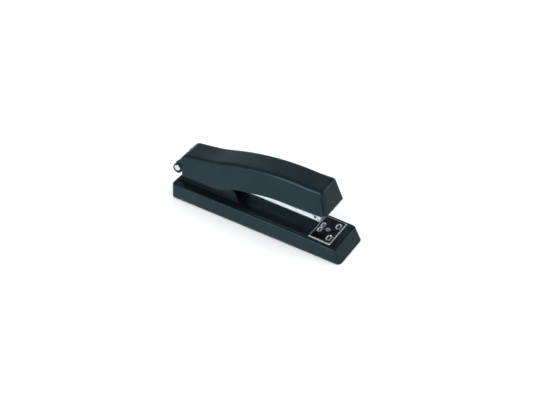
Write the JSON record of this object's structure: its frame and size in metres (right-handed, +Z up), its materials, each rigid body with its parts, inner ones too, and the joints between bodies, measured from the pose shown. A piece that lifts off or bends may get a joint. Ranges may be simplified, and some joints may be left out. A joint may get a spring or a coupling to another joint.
{
  "type": "stapler",
  "caption": "Full-strip desk stapler: black base with a turning two-way anvil, bright magazine and black handle on one rear hinge pin.",
  "frame": {"origin": "centre of the footprint, on the surface the stapler stands on", "axes": "+X from the hinge towards the anvil, +Y to the side, +Z up"},
  "size_m": [0.19, 0.0438, 0.0697],
  "materials": {
    "black_enamel": "satin black enamel, slightly green",
    "handle_black": "satin moulded black",
    "black_steel": "black lacquered steel",
    "black_plastic": "moulded black",
    "rubber_pad": "matt ribbed rubber",
    "plain_steel": "zinc plated, dull",
    "spring_steel": "tempered, satin",
    "chrome_pin": "bright plated",
    "anvil_steel": "blackened plate, rim and pockets ground bright",
    "magazine_chrome": "bright plated sheet steel",
    "staple_wire": "galvanised wire",
    "screw_zinc": "bright zinc"
  },
  "bodies": {
    "base": {"base_shell": "black_enamel", "base_pad": "rubber_pad", "hinge_bracket": "black_steel", "bracket_rivets": "plain_steel", "lift_spring": "spring_steel", "lift_spring_rivet": "plain_steel", "hinge_pin": "chrome_pin", "pin_retainer": "chrome_pin", "hinge_washers": "plain_steel"},
    "anvil_button": {"anvil_button": "black_plastic", "anvil_spring": "spring_steel"},
    "anvil": {"anvil_plate": "anvil_steel", "anvil_stud": "plain_steel", "anvil_clip": "spring_steel"},
    "magazine": {"magazine_channel": "magazine_chrome", "magazine_nose": "plain_steel", "staple_rail": "plain_steel", "rail_pin": "black_steel", "hinge_bush": "plain_steel", "spring_seat": "plain_steel", "seat_rivets": "plain_steel", "rod_support": "plain_steel", "guide_rod": "chrome_pin", "pusher_spring": "spring_steel", "staple_strip": "staple_wire"},
    "pusher": {"pusher": "black_plastic"},
    "handle": {"handle_shell": "handle_black", "handle_frame": "plain_steel", "frame_screws": "screw_zinc", "driver_blade": "spring_steel", "driver_rivets": "plain_steel", "return_spring": "spring_steel", "return_spring_rivet": "plain_steel"}
  },
  "joints": [
    {"name": "magazine_pivot", "type": "hinge", "parent": "base", "child": "magazine", "pos_m": [-0.089, 0, 0.0349], "axis": [0, -1, 0], "range_deg": [-3.4, 100], "stiffness_Nm_per_rad": 0.9, "springref_deg": 11.46, "deforming": ["lift_spring"]},
    {"name": "handle_pivot", "type": "hinge", "parent": "magazine", "child": "handle", "pos_m": [-0.089, 0, 0.0349], "axis": [0, -1, 0], "range_deg": [-3.4, 75], "stiffness_Nm_per_rad": 0.5, "springref_deg": 8.59, "deforming": ["return_spring"]},
    {"name": "pusher_slide", "type": "slide", "parent": "magazine", "child": "pusher", "axis": [1, 0, 0], "range_m": [-0.044, 0], "stiffness_N_per_m": 30, "springref_m": 0.06, "deforming": ["pusher_spring"]},
    {"name": "anvil_raise", "type": "slide", "parent": "base", "child": "anvil_button", "axis": [0.0272, 0, 0.9996], "range_m": [0, 0.0015], "stiffness_N_per_m": 300, "springref_m": -0.005, "deforming": ["anvil_spring"]},
    {"name": "anvil_turn", "type": "hinge", "parent": "anvil_button", "child": "anvil", "pos_m": [0.0694, 0, 0.0152], "axis": [0.0272, 0, 0.9996], "range_deg": [0, 180]}
  ]
}
